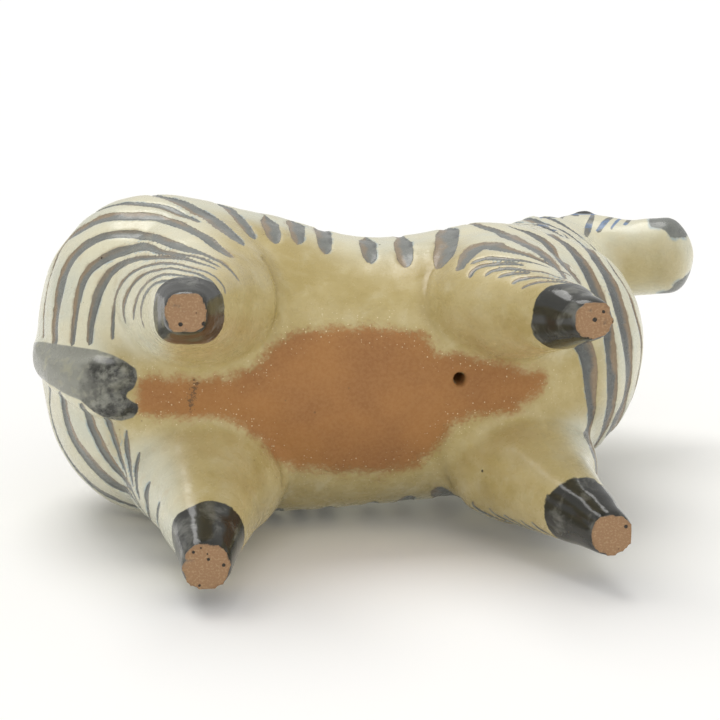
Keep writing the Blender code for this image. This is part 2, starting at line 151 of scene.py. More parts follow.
# Bands over the croup and the back, from their lower right ends up, and where each crosses the spine in mm
BACK_BANDS = [
    ([(202, 223.5, 1.5), (190, 217, 3.5), (178, 211.4, 4.5), (165, 206.6, 4.5), (150, 203.7, 4),
      (135, 202.6, 3.6), (120, 203.3, 3.4), (107, 206.2, 3), (97, 211, 3)], (-111, 0, 140, 3.4)),
    ([(247, 248, 3), (240, 242, 6.5), (231, 234, 8), (221, 225.6, 8), (211, 218.4, 8), (201, 212, 7.8),
      (190, 206, 7.5), (180, 201.4, 6.5), (170, 198, 5), (158, 195.6, 3)], (-98, 0, 149, 3.8)),
    ([(255.5, 242, 4), (250, 234, 7.5), (245, 226.5, 8), (239, 218.5, 7.5), (232, 210.5, 6.5),
      (225, 204.6, 4.5), (217, 200.6, 3)], (-80, 0, 152, 4.2)),
    ([(276.6, 247, 8), (274, 238, 13), (271, 228, 14.5), (268, 217, 14)], (-60, 0, 152, 4.8)),
    ([(299, 247, 7), (298, 238, 12), (296.5, 228, 14), (295, 221, 14)], (-42, 0, 150, 4.6)),
    ([(326.3, 257, 7), (325, 247, 12), (323.5, 236, 14), (322.5, 228, 14)], (-26, 0, 147, 4.4)),
    ([(371, 266, 8), (369.6, 256, 13), (368, 246, 15), (367, 238, 15)], (-10, 0, 144, 4.6)),
    ([(407, 270, 8), (405.5, 260, 14), (403.6, 248, 17), (402, 238, 17)], (4, 0, 143, 4.8)),
]
SHOULDER_BAND = [(441, 270, 7), (443, 261, 14), (445.6, 250, 19), (447, 239, 21), (448, 228, 21),
                 (14, 0, 146, 5.4)]
# Strokes on the right shoulder that fan out from the front leg
LEG_FAN = [
    [(459, 270.5, 6), (463, 262, 9), (468, 254.5, 11), (474, 248.6, 11.5), (481, 244.8, 11.5),
     (490, 244.6, 10), (500, 247.6, 6.8), (510, 250, 5.2), (520, 252.5, 4.4), (530, 255.5, 3.6),
     (540, 259.2, 2.8), (550, 264.5, 2.2), (560, 270.5, 1.6), (570, 276, 1.2)],
    [(470.5, 263, 3), (479, 259.4, 4.2), (490, 257.4, 4.4), (500, 257.8, 4.2), (510, 258.8, 3.8),
     (520, 260.2, 3.4), (530, 261.8, 2.8), (540, 264.2, 2.2), (549, 267.6, 1.4)],
    [(469.5, 277.5, 3), (471.5, 271, 4.8), (477.5, 266.3, 5), (486, 264.2, 4.8), (496, 263.2, 4.4),
     (506, 263, 4), (516, 263.8, 3.4), (525, 265, 1.6)],
    [(485.5, 276, 3.4), (489.5, 272, 4.6), (496, 269.6, 4.6), (505, 268.3, 4.2), (515, 268.2, 3.8),
     (525, 268.9, 3.4), (535, 270, 3), (545, 272, 2.4), (555, 275, 2), (565, 279, 1.4)],
    [(498.5, 277.5, 3.4), (504, 274.9, 4.4), (512, 273.3, 4), (522, 272.4, 3.2), (529, 272.4, 1.6)],
    [(512, 282.5, 3.4), (517, 279.2, 4.4), (525, 277, 4), (534, 276.1, 3.4), (545, 276.9, 2.8),
     (556, 278.9, 2.4), (566, 281.4, 2), (575, 284.4, 1.4)],
    [(521, 288.5, 2.6), (526, 285.2, 4.4), (533, 282.8, 4), (542, 281.5, 3.4), (552, 281.4, 2.8),
     (562, 282.4, 2.4), (572, 284.4, 1.9), (581, 287.4, 1.2)],
]
# Bands from the crest down the right shoulder and across the chest to the left side
FAN_SHARE = 0.62  # the fan is drawn with a finer brush
SHOULDER_LINE = [(-2, 2, 147, 3), (8, -25, 138, 3), (470, 222, 3), (480, 224.5, 4.5), (490, 228, 6),
                 (500, 232, 7.2), (510, 236, 8.2), (520, 240.5, 8.6), (530, 245.6, 8.6),
                 (540, 251.6, 8), (548, 258, 6.6), (555, 265, 5), (561, 272, 3), (567, 279, 1.5)]
CHEST_BANDS = [
    [(498, 223.5, 2.4), (510, 226, 3.8), (520, 229, 5), (530, 233, 6.6), (540, 238.8, 7.6),
     (550, 246, 8.6), (558, 254, 9), (564, 262, 8.8), (569.5, 270, 8.6),
     (588.3, 352, 15.5), (589.5, 365, 14), (590, 380, 12.4), (590.5, 400, 8.4), (590.8, 415, 6),
     (591, 428, 4.4), (591.5, 437, 3)],
    [(515, 224, 1.8), (528, 226.8, 2.4), (540, 230.2, 3.6), (550, 234.2, 5), (560, 239.5, 6),
     (568, 245.5, 6.6), (575, 252, 7.2), (581, 259.5, 8.2), (586, 267.5, 9), (590.5, 276, 10),
     (594.5, 284, 10), (610.3, 352, 10.6), (611.6, 365, 10), (612, 380, 10), (611.6, 395, 9.4),
     (610.4, 410, 7.6), (608.4, 422, 6.2), (604.8, 433, 4.6), (599.5, 442, 3)],
    [(540, 226.5, 1.6), (550, 229, 2), (560, 232.7, 2.6), (570, 237.2, 3.6), (580, 243.2, 5),
     (590, 250.8, 6.5), (600, 261.5, 7.6), (607, 272, 8.6), (613, 284, 9.2), (618, 297, 10),
     (622, 311, 10.5), (626.5, 330, 10.4), (629.3, 350, 8.6), (629.8, 365, 7), (629.2, 380, 5.6),
     (626.4, 396, 4.6), (621.5, 407, 3)],
    [(585, 243.5, 1.3), (595, 250.6, 1.4), (605, 259.4, 1.5), (613, 268, 1.6), (620, 277, 1.8),
     (626, 287, 2.2), (630.4, 297, 2.6), (634.4, 310, 3), (638, 325, 3.8), (641, 344, 4),
     (641, 357, 3.2), (639, 368, 2)],
]
CHEST_TOPS = [(4, 1, 155, 3.6), (11, 0, 164, 3.6), (19, -1, 173, 3.6), (27, -3, 181, 3.2)]
CHEST_FACING = 0.10  # nearer to the outline than this, the picture is no guide
# Bands round the neck above those, in mm: their height at the crest and at the throat, and how wide they are
NECK_BANDS = [(188, 103, 3.6), (194, 122, 3.6), (200, 141, 3.0)]
NECK_POINTS = 48
NECK_SLANT = 1.35  # more than 1 keeps the bands high on the sides of the neck
NECK_AXIS = [(20, 3, 90), (29.9, 3.0, 106.1), (43.9, 1.6, 128.5), (55.1, -1.9, 151), (64.1, -6.5, 170.3),
             (69.9, -10.2, 186.7), (72, -11, 200)]
# Blue and grey marks on the right side of the head
HEAD_MARKS = [
    [(532, 223, 2), (540, 223.5, 4), (546, 227, 5), (552, 229, 4), (556, 229.5, 2)],
    [(540, 218.5, 2), (548, 215.6, 2.4), (556, 216, 2.6)],
    [(553, 213.5, 1.8), (565, 212.8, 2), (578, 214.8, 2.8)],
    [(593.5, 212, 2.5), (591.6, 218, 4.4), (589, 225, 6), (587.4, 231, 6.4), (586, 236, 3.5)],
    [(612, 216, 2), (607, 219.5, 4), (603, 224, 5), (599.6, 229, 5), (597, 232.5, 3.4)],
    [(621, 218.5, 1.5), (616, 221.6, 2.4), (612.6, 226, 2.8), (611, 229, 1.5)],
    [(630.5, 217.5, 1.5), (627.5, 221, 3.4), (624.5, 225, 3.6)],
]
# Marks on the face that don't show in the picture, in mm in the head's frame: along, to the side, up, width
FACE_LINES = [
    [(9, 0, 19, 1.6), (20, 0, 18.5, 2.4), (32, 0, 15, 2.2), (41, 0, 13, 1.4)],
    [(10, 5, 18, 1.4), (20, 5.5, 17.5, 2.2), (31, 4.5, 14.5, 2.0), (39, 3.2, 13, 1.2)],
    [(25, 14.5, 11, 1.8), (26, 11.5, 14.5, 2.2), (28, 9, 15.5, 1.6)],
    [(29, 15.5, 4, 2.0), (30.5, 12, 10, 2.4), (33, 8.5, 12.5, 1.8)],
    [(2, 13, -6, 2.0), (6, 15.5, 2, 2.6), (8, 15, 9, 2.4), (9, 11, 15, 2.0)],
]
NOSE_TOP = (44, 3)  # mm along the head and up, from where the muzzle is dark
EYE = (17.4, 16.4, 7.0)  # mm in the head's frame
EYE_HALF = (4.3, 2.7)
EAR_ROOT = (-2.3, 10.4, 12.8)  # mm in the head's frame
EAR_LEAN = Vector((-0.375, 0.147, 0.915)).normalized()
EAR_HOLLOW = (9.0, 5.2, 3.3)  # mm up the ear to its middle, and its half height and half width
EAR_HOLLOW_DEPTH = 1.3  # mm
EAR_SHIFT = (2.0, 4.6, 0.0)  # mm, how far the tip of the right ear moves forwards and inwards

# Folds between the legs' round roots and the trunk, traced in the picture, carved in and darkened with
# painted shade
CREASES = [
    [(262, 256, 2), (270, 266, 5), (276.5, 281, 7), (279, 300, 8), (278, 318, 7), (272, 338, 5),
     (262, 350, 2)],
    [(262, 442, 2), (274, 446, 5), (281, 458, 6), (284, 474, 5), (283, 486, 2)],
    [(434, 262, 2), (427, 276, 5), (424.5, 296, 6), (427, 314, 6), (434, 330, 4), (444, 340, 2)],
    [(452, 425, 2), (444, 440, 5), (441, 456, 6), (443, 472, 5), (450, 486, 2)],
]
CREASE_DEPTH = 0.8 * MM
CREASE_SPREAD = 1.9  # mm
# A patch of dark pits on the bare clay between the hind legs, traced in the picture
SMUDGE = [(196, 383, 4), (193, 391, 4), (191, 400, 4), (190, 408, 4)]
SMUDGE_REACH = 1.9  # mm
KHAKI_ROUNDS = 24  # how often the olive's edge is softened
CLAY_SEED = 7
# Outlines in the picture, in pixels
NOSE_PATCH = [(647, 210), (649, 219), (651, 227), (657, 228), (663, 229), (667, 233), (670, 237),
              (675, 238.7), (680, 238), (686, 237), (694, 228), (694, 210), (670, 200), (650, 203)]
BARE_BELLY = [(136, 379), (160, 376), (200, 378), (232, 376), (256, 366), (272, 345), (290, 334),
              (330, 327), (380, 326), (425, 334), (438, 352), (462, 356), (500, 361), (546, 375),
              (546, 381), (536, 394), (516, 412), (493, 414), (471, 416), (452, 426), (436, 451),
              (418, 464), (385, 474), (330, 474), (290, 468), (270, 455), (259, 439), (243, 428),
              (216, 416), (199, 419), (177, 416), (156, 417), (139, 412)]
TAIL_OUTLINE = [(20, 343), (43, 342), (70, 346), (97, 350), (112, 355), (126, 362), (136, 369),
                (137.5, 378), (134, 388), (127, 393), (126, 397), (131, 401), (138, 404), (138.5, 411),
                (133, 418), (121, 421.5), (105, 419), (93, 412), (80, 400), (62, 392), (42, 379),
                (20, 379)]
TAIL_DOCK = [(-119, 1, 128), (-123, 1, 116), (-124, 1, 104)]  # mm, where the tail runs out of the picture
TAIL_DOCK_HALF = 5.6  # mm, half its width

# Where the black glaze of each foot ends, in mm above the sole, and which way that edge tilts
HOOVES = [
    ((-77.4, -36.4), 15.5, (-0.10, 0.06)),
    ((-72.6, 39.6), 19.5, (0.0, 0.05)),
    ((41.9, -30.8), 18.5, (0.10, 0.0)),
    ((49.1, 35.3), 19.5, (0.0, 0.0)),
]

# Colours, in linear light
CREAM = (0.74, 0.70, 0.51, 1)
CREAM_COOL = (0.66, 0.66, 0.53, 1)
CREAM_WARM = (0.64, 0.54, 0.35, 1)
KHAKI = (0.565, 0.465, 0.225, 1)
KHAKI_DARK = (0.46, 0.36, 0.14, 1)
# the colour of the painted shade in the folds
FOLD_SHADE_OLIVE = (0.33, 0.24, 0.08, 1)
STRIPE = (0.205, 0.212, 0.19, 1)
STRIPE_DARK = (0.075, 0.08, 0.08, 1)
STRIPE_BROWN = (0.34, 0.235, 0.13, 1)
HALO_BLUE = (0.24, 0.37, 0.46, 1)
MARK_BLUE = (0.06, 0.16, 0.36, 1)
TERRACOTTA = (0.39, 0.178, 0.052, 1)
TERRACOTTA_DARK = (0.31, 0.135, 0.042, 1)
TERRACOTTA_PALE = (0.47, 0.25, 0.09, 1)
SPARK = (0.80, 0.70, 0.45, 1)
HOOF = (0.034, 0.034, 0.028, 1)
HOOF_GREY = (0.16, 0.16, 0.14, 1)
CLAY = (0.33, 0.19, 0.095, 1)
CLAY_LIGHT = (0.45, 0.30, 0.16, 1)
TAIL_GREY = (0.285, 0.285, 0.24, 1)
TAIL_LIGHT = (0.36, 0.35, 0.26, 1)
PIT = (0.035, 0.028, 0.02, 1)
IRON = (0.20, 0.12, 0.05, 1)
STAGE_WHITE = (0.95, 0.945, 0.93, 1)
HOOF_ROUGHNESS = 0.13
CLAY_ROUGHNESS = 0.72

# The stage
STAGE_SIZE = 12.0
TABLE_PLACE = 53.5 * MM
FLOOR_GAP = 0.3 * MM
WORLD_LIGHT = 0.57
GLOW_STRENGTH = 0.28
GLOW_CENTRE = (0.0, 0.105)  # m on the table
GLOW_REACH = (0.135, 0.075)
LIGHTS = [
    ("key", (-0.16, -0.89, 0.42), 42, 1.45, (1.0, 0.99, 0.97)),
    ("front", (0.15, -0.50, -0.85), 70, 0.68),
    ("left", (0.30, 0.80, 0.50), 60, 0.80),
]


def to_picture(points):
    """Where points (an n by 3 array in metres) show in the picture, in pixels."""
    away = points - np.array(CAMERA_PLACE)
    depth = -away @ np.array(CAMERA_BACK)
    across = away @ np.array(CAMERA_RIGHT)
    upwards = away @ np.array(CAMERA_UP)
    middle = PICTURE_WIDTH / 2
    x = middle + FOCAL_PIXELS * across / depth
    y = middle - FOCAL_PIXELS * upwards / depth
    return np.stack([x, y], axis=1)


def picture_ray(x, y):
    """The way from the camera to what shows at a pixel."""
    across = (x - PICTURE_WIDTH / 2) / FOCAL_PIXELS
    down = (y - PICTURE_WIDTH / 2) / FOCAL_PIXELS
    return (-CAMERA_BACK + CAMERA_RIGHT * across - CAMERA_UP * down).normalized()


class Surface:
    """The figurine's fine mesh, with quick ways to land a point on it."""

    def __init__(self, mesh):
        self.places = np.zeros((len(mesh.vertices), 3))
        mesh.vertices.foreach_get("co", self.places.reshape(-1))
        self.normals = np.zeros((len(mesh.vertices), 3))
        mesh.vertex_normals.foreach_get("vector", self.normals.reshape(-1))
        polygons = [tuple(face.vertices) for face in mesh.polygons]
        self.tree = BVHTree.FromPolygons([Vector(place) for place in self.places], polygons)

    def nearest(self, point):
        place, normal, _, _ = self.tree.find_nearest(point)
        return place, normal

    def under_pixel(self, x, y):
        """The place seen at a pixel, or beside it where the pixel misses the figurine."""
        ray = picture_ray(x, y)
        place, _, _, _ = self.tree.ray_cast(CAMERA_PLACE, ray)
        if place:
            return place
        closest = None
        for number in range(RAY_STEPS):
            here = CAMERA_PLACE + ray * (RAY_START + RAY_STEP * number) * MM
            found, _, _, distance = self.tree.find_nearest(here)
            if closest is None or distance < closest[0]:
                closest = (distance, found)
        return closest[1]


def fine_surface(node):
    """A fine, even mesh of the figurine's solid, with its soles flat."""
    piece = bpy.data.objects.new("zebra_glazed", node.data.copy())
    bpy.context.scene.collection.objects.link(piece)
    remesh = piece.modifiers.new("even", "REMESH")
    remesh.mode = "VOXEL"
    remesh.voxel_size = VOXEL
    graph = bpy.context.evaluated_depsgraph_get()
    graph.update()
    mesh = bpy.data.meshes.new_from_object(piece.evaluated_get(graph), depsgraph=graph)
    piece.modifiers.clear()
    old = piece.data
    piece.data = mesh
    bpy.data.meshes.remove(old)
    mesh.name = "zebra_glazed"
    even_out(mesh)
    return piece


def links_of(mesh):
    """Each edge's ends, both ways round, and how many neighbours each vertex has."""
    edges = np.zeros((len(mesh.edges), 2), dtype=np.int64)
    mesh.edges.foreach_get("vertices", edges.reshape(-1))
    one = np.concatenate([edges[:, 0], edges[:, 1]])
    other = np.concatenate([edges[:, 1], edges[:, 0]])
    return one, other, np.bincount(one, minlength=len(mesh.vertices))


def neighbours_mean(values, links):
    """For each vertex, the mean of its neighbours' values."""
    one, other, count = links
    return np.bincount(one, weights=values[other], minlength=len(values)) / count


def even_out(mesh):
    """Smooths away the solid's facets, without shrinking it, and keeps its soles flat."""
    places = np.zeros((len(mesh.vertices), 3))
    mesh.vertices.foreach_get("co", places.reshape(-1))
    links = links_of(mesh)
    flat = places[:, 2] < FLAT_SOLE
    for _ in range(SMOOTHING):
        for factor in (SMOOTHING_IN, SMOOTHING_OUT):
            for axis in range(3):
                shift = neighbours_mean(places[:, axis], links) - places[:, axis]
                places[:, axis] += factor * shift * ~flat
    places[flat, 2] = 0.0
    places[:, 2] = np.maximum(places[:, 2], 0.0)
    places[:, 1] -= haunch_swell(places)
    mesh.vertices.foreach_set("co", places.astype(np.float32).reshape(-1))
    mesh.update()


def haunch_swell(places):
    """How far the right haunch stands out past the solid, in metres, as its outline in the picture does."""
    x, y, z = (places / MM).T
    along = 1 - smooth_step(np.abs(x - HAUNCH_MIDDLE), 8, 40)
    return HAUNCH_SWELL * along * smooth_step(-y, 22, 46) * smooth_step(z, 40, 75)


def mirror_body(place):
    """The same place on the left side, moved forward on the legs, whose left feet stand further forward."""
    stagger = HIND_STAGGER if place.x < -15 * MM else FRONT_STAGGER
    forward = stagger * max(0.0, 1 - place.z / LEG_HEIGHT)
    middle = neck_middle(place).y if place.x > 0 and place.z > NECK_AXIS[1][2] * MM else MIDLINE
    return Vector((place.x + forward, 2 * middle - place.y, place.z))


def mirror_head(place):
    local = HEAD_FRAME.inverted() @ place
    return HEAD_FRAME @ Vector((local.x, -local.y, local.z))


def catmull(before, start, end, after, share):
    return 0.5 * (
        2 * start
        + (end - before) * share
        + (2 * before - 5 * start + 4 * end - after) * share**2
        + (3 * start - before - 3 * end + after) * share**3
    )


def land(surface, points, facing=-1.0):
    """The places of a stroke's points on the surface, each with its half width.

    The half width is in metres, or in pixels if it is negative. The search starts from the end, which is
    well inside the outline. It leaves out a point that slips past the outline onto what lies behind, or
    where the surface faces the camera less than it should.
    """
    landed = []
    before = None
    for point in reversed(points):
        if len(point) == 4:
            landed.append((surface.nearest(Vector(point[:3]) * MM)[0], point[3] * MM / 2))
            continue
        place = surface.under_pixel(point[0], point[1])
        if before:
            steps = math.dist(before[0][:2], point[:2]) * PIXEL
            if (place - before[1]).length > SLIP * steps + 3 * MM:
                continue
        if surface.nearest(place)[1].dot((CAMERA_PLACE - place).normalized()) < facing:
            continue
        landed.append((place, -point[2] / 2))
        before = (point, place)
    return landed[::-1]


def pixels_across(place, normal, path):
    """How many pixels one metre across the stroke adds to its width in the picture."""
    across = normal.cross(path).normalized()
    around = [place - across * MM, place + across * MM, place - path * MM, place + path * MM]
    spots = to_picture(np.array(around))
    sideways = spots[1] - spots[0]
    ahead = spots[3] - spots[2]
    ahead /= max(np.linalg.norm(ahead), 1e-9)
    return max(abs(ahead[0] * sideways[1] - ahead[1] * sideways[0]) / (2 * MM), FEWEST_PIXELS)


def trace(surface, landed, ease=0):
    """A dense line of samples on the surface along a stroke: place, path, normal and half width in metres.

    More ease rounds off kinks, over that many samples to each side.
    """
    spots = [landed[0], *landed, landed[-1]]
    line = []
    for index in range(1, len(spots) - 2):
        four = spots[index - 1 : index + 3]
        length = (four[2][0] - four[1][0]).length
        count = max(1, int(length / STROKE_STEP))
        for number in range(count):
            share = number / count
            place = catmull(*(spot[0] for spot in four), share)
            half = four[1][1] + (four[2][1] - four[1][1]) * share
            if four[1][1] * four[2][1] < 0:
                half = four[1][1] if share < 0.5 else four[2][1]
            line.append((place, half))
    line.append(landed[-1])
    if ease:
        way = np.array([place for place, _ in line])
        eased = np.stack([moving_mean(way[:, axis], ease) for axis in range(3)], axis=1)
        line = [(Vector(place), half) for place, (_, half) in zip(eased, line)]
    placed = [(*surface.nearest(place), half) for place, half in line]
    samples = []
    for index, (place, normal, half) in enumerate(placed):
        path = placed[min(index + 1, len(placed) - 1)][0] - placed[max(index - 1, 0)][0]
        if path.length < 1e-7:
            continue
        path.normalize()
        if half < 0:
            half = -half * STROKE_SWELL / pixels_across(place, normal, path)
        samples.append([place, path, normal, half])
    return round_ends(even_widths(samples))


def moving_mean(values, reach):
    """The mean of each value and those up to this many before and after it."""
    padded = np.pad(values, reach, mode="edge")
    return np.convolve(padded, np.ones(2 * reach + 1) / (2 * reach + 1), mode="valid")


def even_widths(samples):
    """Evens out the widths along a stroke, where its points come from two kinds of measure."""
    widths = np.array([sample[3] for sample in samples])
    if len(widths) > 2 * WIDTH_REACH + 1:
        widths = moving_mean(widths, WIDTH_REACH)
    for sample, width in zip(samples, widths):
        sample[3] = float(width)
    return samples


def round_ends(samples):
    """Narrows both ends of a stroke to a round tip."""
    steps = [0.0]
    for one, two in zip(samples, samples[1:]):
        steps.append(steps[-1] + (two[0] - one[0]).length)
    for sample, step in zip(samples, steps):
        half = sample[3]
        to_end = min(step, steps[-1] - step)
        if to_end < half:
            sample[3] = half * math.sqrt(max(0.0, 1 - (1 - to_end / half) ** 2))
    return samples


def brushed(surface, points):
    """A stroke, traced from its points in the picture or on the figurine."""
    return trace(surface, land(surface, points))


def spots_along(samples, every):
    """Every so many of a traced stroke's samples, as places and half widths."""
    return [(place, half) for place, _, _, half in samples[::every]]


def mirrored(surface, samples, mirror):
    """A traced stroke on the other side."""
    spots = spots_along(samples, 6)
    return trace(surface, [(surface.nearest(mirror(place))[0], half) for place, half in spots])


def trunk_middle(place):
    return Vector((place.x, MIDLINE, TRUNK_LEVEL))


def neck_middle(place):
    levels = [spot[2] * MM for spot in NECK_AXIS]
    across = [np.interp(place.z, levels, [spot[axis] * MM for spot in NECK_AXIS]) for axis in (0, 1)]
    return Vector((*across, place.z))


def over(surface, start, end, middle):
    """The way over a rounded form from one landed point to another, seen from the middle of the form."""
    way = []
    for number in range(1, BRIDGE_STEPS):
        share = number / BRIDGE_STEPS
        chord = start[0].lerp(end[0], share)
        centre = middle(chord)
        place, _, _, _ = surface.tree.ray_cast(centre, (chord - centre).normalized())
        if place:
            way.append((place, abs(start[1]) + (abs(end[1]) - abs(start[1])) * share))
    return way


def carried_on(surface, end, arc):
    """The rest of a left arc: the mirror image of the right one, eased onto the end of what is seen."""
    image = [(mirror_body(place), half) for place, half in spots_along(arc, 1)]
    start = min(range(len(image)), key=lambda number: (image[number][0] - end[0]).length)
    offset = image[start][0] - end[0]
    rest = []
    for number in range(start + CARRY_START, len(image), CARRY_EVERY):
        share = min(1.0, (number - start) / max(1, len(image) - start) * CARRY_HASTE)
        rest.append((surface.nearest(image[number][0] - offset * (1 - share) ** 2)[0], image[number][1]))
    return rest


def across_back(surface, right, top):
    """A band from its lower right end over the spine to its lower left end."""
    seen = spots_along(brushed(surface, right), 4)
    ridge = land(surface, [top])[0]
    climb = over(surface, seen[-1], ridge, trunk_middle)
    left = [(mirror_body(place), half) for place, half in seen + climb]
    return trace(surface, [*seen, *climb, ridge, *left[::-1]], EASE)


def chest_band(surface, band, top):
    """A closed band from the crest down the right shoulder, over the chest and up the left shoulder."""
    right = spots_along(trace(surface, land(surface, band, CHEST_FACING)), 6)
    reach = right[-1][0].y
    shoulder = [(mirror_body(place), half) for place, half in right]
    shoulder = [spot for spot in shoulder if spot[0].y > reach + 3 * MM]
    ridge = land(surface, [top])[0]
    climb = over(surface, ridge, right[0], neck_middle)
    left_climb = [(mirror_body(place), half) for place, half in climb]
    return trace(surface, [ridge, *climb, *right, *shoulder[::-1], *left_climb[::-1], ridge], EASE)


def face_line(surface, line):
    """A mark on the face that is placed in the head's own frame."""
    spots = [(HEAD_FRAME @ (Vector(point[:3]) * MM), point[3] * MM / 2) for point in line]
    return trace(surface, [(surface.nearest(place)[0], half) for place, half in spots])


def all_strokes(surface):
    """Every stripe, as traced samples, and every mark of the head."""
    arcs = [brushed(surface, arc) for arc in HAUNCH_ARCS]
    stripes = list(arcs)
    for number, (seen, arc) in enumerate(zip(RUMP_ARCS, arcs)):
        near = spots_along(brushed(surface, seen), 4)
        if number < LONG_RUMP_ARCS:
            near += carried_on(surface, near[-1], arc)
        stripes.append(trace(surface, near, EASE // 2))
    stripes += [across_back(surface, band, top) for band, top in BACK_BANDS]
    stripes.append(across_back(surface, SHOULDER_BAND[:-1], SHOULDER_BAND[-1]))
    thinned = [[(x, y, width * FAN_SHARE) for x, y, width in stroke] for stroke in LEG_FAN[1:]]
    fan = [brushed(surface, stroke) for stroke in [LEG_FAN[0], *thinned, SHOULDER_LINE]]
    stripes += fan
    stripes += [mirrored(surface, stroke, mirror_body) for stroke in fan]
    stripes += [chest_band(surface, band, top) for band, top in zip(CHEST_BANDS, CHEST_TOPS)]
    stripes += [neck_band(surface, *band) for band in NECK_BANDS]
    marks = [brushed(surface, mark) for mark in HEAD_MARKS]
    marks += [face_line(surface, line) for line in FACE_LINES]
    marks += [mirrored(surface, mark, mirror_head) for mark in marks]
    return stripes, marks


def neck_band(surface, crest, throat, width):
    """A closed band round the neck, from its height at the crest down to its height at the throat."""
    points = []
    for number in range(NECK_POINTS + 1):
        angle = 2 * math.pi * number / NECK_POINTS
        level = crest + (throat - crest) * ((1 - math.cos(angle)) / 2) ** NECK_SLANT
        outward = Vector((-math.cos(angle), math.sin(angle), 0.0))
        place, _, _, _ = surface.tree.ray_cast(neck_middle(Vector((0, 0, level)) * MM), outward)
        if place:
            points.append((place, width * MM / 2 * (1.0 + 0.35 * math.cos(angle))))
    return trace(surface, points)


def nearest_stroke(surface, strokes):
    """For each vertex, in mm: how far it is to the nearest stroke's side, how far off, and the half width."""
    samples = [sample for stroke in strokes for sample in stroke]
    tree = KDTree(len(samples))
    for index, sample in enumerate(samples):
        tree.insert(sample[0], index)
    tree.balance()
    side, off, half = (np.full(len(surface.places), value) for value in (FAR, FAR, 0.0))
    for number, (place, normal) in enumerate(zip(surface.places, surface.normals)):
        _, index, distance = tree.find(place)
        off[number] = distance / MM
        spot, path, up, width = samples[index]
        if normal @ np.array(up) < SAME_SIDE:
            continue
        side[number] = (Vector(place) - spot).dot(up.cross(path)) / MM
        half[number] = width / MM
    return side, off, half


def off_line(points, start, end):
    """How far points are from the line between two others."""
    edge = end - start
    share = np.clip(((points - start) @ edge) / (edge @ edge), 0, 1)
    return np.linalg.norm(points - (start + share[:, None] * edge), axis=1)


def inside_outline(points, outline):
    """How far points in the picture are inside an outline, in mm, and less than 0 outside it."""
    corners = np.array(outline, float)
    following = np.roll(corners, -1, axis=0)
    nearest = np.full(len(points), 1e9)
    inside = np.zeros(len(points), bool)
    for start, end in zip(corners, following):
        edge = end - start
        nearest = np.minimum(nearest, off_line(points, start, end))
        crosses = (start[1] > points[:, 1]) != (end[1] > points[:, 1])
        with np.errstate(divide="ignore", invalid="ignore"):
            reach = start[0] + (points[:, 1] - start[1]) * edge[0] / edge[1]
        inside ^= crosses & (points[:, 0] < reach)
    return np.where(inside, nearest, -nearest) / PIXELS_PER_MM


def smooth_step(values, low, high):
    share = np.clip((values - low) / (high - low), 0, 1)
    return share * share * (3 - 2 * share)


def facing_camera(surface):
    to_camera = np.array(CAMERA_PLACE) - surface.places
    to_camera /= np.linalg.norm(to_camera, axis=1, keepdims=True)
    return np.einsum("ij,ij->i", surface.normals, to_camera)


def bare_field(surface, pixels, facing):
    """Millimetres inside the bare terracotta, and less than 0 outside it."""
    inside = inside_outline(pixels, BARE_BELLY)
    seen = smooth_step(facing, 0.0, 0.2) * smooth_step(surface.places[:, 2], 28 * MM, 36 * MM)
    return inside * seen - 12 * (1 - seen)


def tail_field(surface, pixels, facing):
    """Millimetres inside the grey of the tail, and less than 0 outside it."""
    behind = surface.places[:, 0] < -60 * MM
    inside = np.where(behind & (facing > -0.05), inside_outline(pixels, TAIL_OUTLINE), -10.0)
    dock = np.array(TAIL_DOCK, float)
    off = np.full(len(surface.places), 1e9)
    for start, end in zip(dock, dock[1:]):
        off = np.minimum(off, off_line(surface.places / MM, start, end))
    return np.maximum(inside, TAIL_DOCK_HALF - off)


def hoof_field(surface):
    """Millimetres below the upper edge of the black glaze on the nearest foot."""
    x, y, z = (surface.places / MM).T
    field = np.full(len(x), -40.0)
    for (foot_x, foot_y), top, (lean_x, lean_y) in HOOVES:
        near = np.hypot(x - foot_x, y - foot_y) < 30
        here = top - z + lean_x * (x - foot_x) + lean_y * (y - foot_y)
        field = np.where(near, here, field)
    return np.maximum(field, -40.0)


def khaki_field(surface):
    """How much of the olive glaze lies on each vertex: under the belly and the jaw, and inside the legs."""
    x, y, z = (surface.places / MM).T
    along, across, up = surface.normals.T
    to_middle = np.clip((-20 - x) / 25, -1, 1) * along
    inward = np.maximum(0, -across * np.sign(y - MIDLINE / MM))
    low = np.where(x > -10, 0.25, 0.12) * (1 - smooth_step(z, 20, 60))
    low += 0.40 * inward * (1 - smooth_step(z, 60, 80))
    body = smooth_step(-up + 0.9 * to_middle + low, 0.08, 0.60) * (1 - smooth_step(z, 82, 98))
    jaw = 0.75 * smooth_step(-up, 0.55, 0.95) * smooth_step(z, 145, 155) * smooth_step(x, 75, 90)
    return np.maximum(body, jaw)


def softened(mesh, values, rounds):
    """Values at a mesh's vertices, spread to their neighbours so that they change slowly."""
    links = links_of(mesh)
    for _ in range(rounds):
        values = 0.5 * values + 0.5 * neighbours_mean(values, links)
    return values


def on_head(surface):
    """The mesh's places and normals in the head's frame, in mm, and which of them belong to the head."""
    matrix = np.array(HEAD_FRAME.inverted())
    local = surface.places @ matrix[:3, :3].T + matrix[:3, 3]
    turned = surface.normals @ matrix[:3, :3].T
    here = (surface.places[:, 2] > 150 * MM) & (surface.places[:, 0] > 40 * MM)
    return local / MM, turned, here


def eye_field(local, here):
    """More than 0 on the eyes, by how far inside their rim in mm."""
    off = np.hypot((local[:, 0] - EYE[0]) / EYE_HALF[0], (local[:, 2] - EYE[2]) / EYE_HALF[1])
    return np.where(here & (np.abs(local[:, 1]) > 11), (1 - off) * EYE_HALF[1], -10.0)


